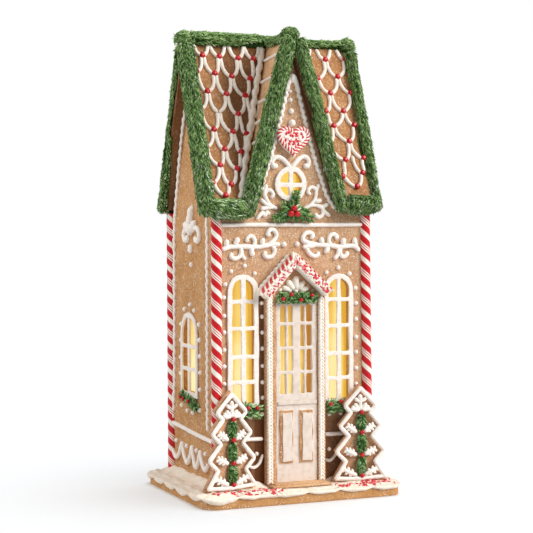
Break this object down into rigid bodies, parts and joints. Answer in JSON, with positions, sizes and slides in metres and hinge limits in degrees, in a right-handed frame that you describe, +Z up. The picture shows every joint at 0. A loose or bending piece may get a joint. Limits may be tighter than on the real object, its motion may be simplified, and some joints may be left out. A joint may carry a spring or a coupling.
{
  "type": "lighted gingerbread house ornament",
  "caption": "Tall table-top gingerbread house with a steep gabled roof, piped icing, candy-stick corners, fir garlands and glowing windows, on its own iced board.",
  "frame": {"origin": "middle of the board's flat underside", "axes": "+Z up, the front door faces -Y, +X to the right when facing the door"},
  "size_m": [0.2394, 0.2004, 0.5195],
  "materials": {
    "gingerbread": "matt, baked",
    "royal_icing": "satin",
    "fir_green": "matt",
    "red_candy": "glossy",
    "candy_stripe": "satin, red and white",
    "amber_pane": "frosted, lit from behind"
  },
  "bodies": {
    "root": {"base_board": "gingerbread", "base_icing": "royal_icing", "door": "royal_icing", "door_garland": "fir_green", "door_pane": "amber_pane", "door_step": "gingerbread", "gable_roof_left": "gingerbread", "gable_roof_right": "gingerbread", "garland_eave_back": "fir_green", "garland_eave_left": "fir_green", "garland_eave_right": "fir_green", "garland_gable_left": "fir_green", "garland_gable_ridge": "fir_green", "garland_gable_right": "fir_green", "garland_ridge": "fir_green", "garland_side_left_back": "fir_green", "garland_side_left_front": "fir_green", "garland_side_right_back": "fir_green", "garland_side_right_front": "fir_green", "heart_candy": "candy_stripe", "holly_berry_1": "red_candy", "holly_berry_2": "red_candy", "holly_berry_3": "red_candy", "holly_sprig": "fir_green", "oval_window_frame": "royal_icing", "oval_window_pane": "amber_pane", "porch_jamb_left": "gingerbread", "porch_jamb_right": "gingerbread", "porch_pediment": "gingerbread", "porch_roof_left": "royal_icing", "porch_roof_right": "royal_icing", "post_back_left": "candy_stripe", "post_back_right": "candy_stripe", "post_front_left": "candy_stripe", "post_front_right": "candy_stripe", "roof_back": "gingerbread", "roof_front_left": "gingerbread", "roof_front_right": "gingerbread", "sprig_back": "fir_green", "sprig_front_left": "fir_green", "sprig_front_right": "fir_green", "sprig_left": "fir_green", "sprig_right": "fir_green", "tree_left": "gingerbread", "tree_right": "gingerbread", "wall_back": "gingerbread", "wall_front": "gingerbread", "wall_left": "gingerbread", "wall_right": "gingerbread", "window_frame_back": "royal_icing", "window_frame_front_left": "royal_icing", "window_frame_front_right": "royal_icing", "window_frame_left": "royal_icing", "window_frame_right": "royal_icing", "window_pane_back": "amber_pane", "window_pane_front_left": "amber_pane", "window_pane_front_right": "amber_pane", "window_pane_left": "amber_pane", "window_pane_right": "amber_pane"}
  },
  "joints": []
}
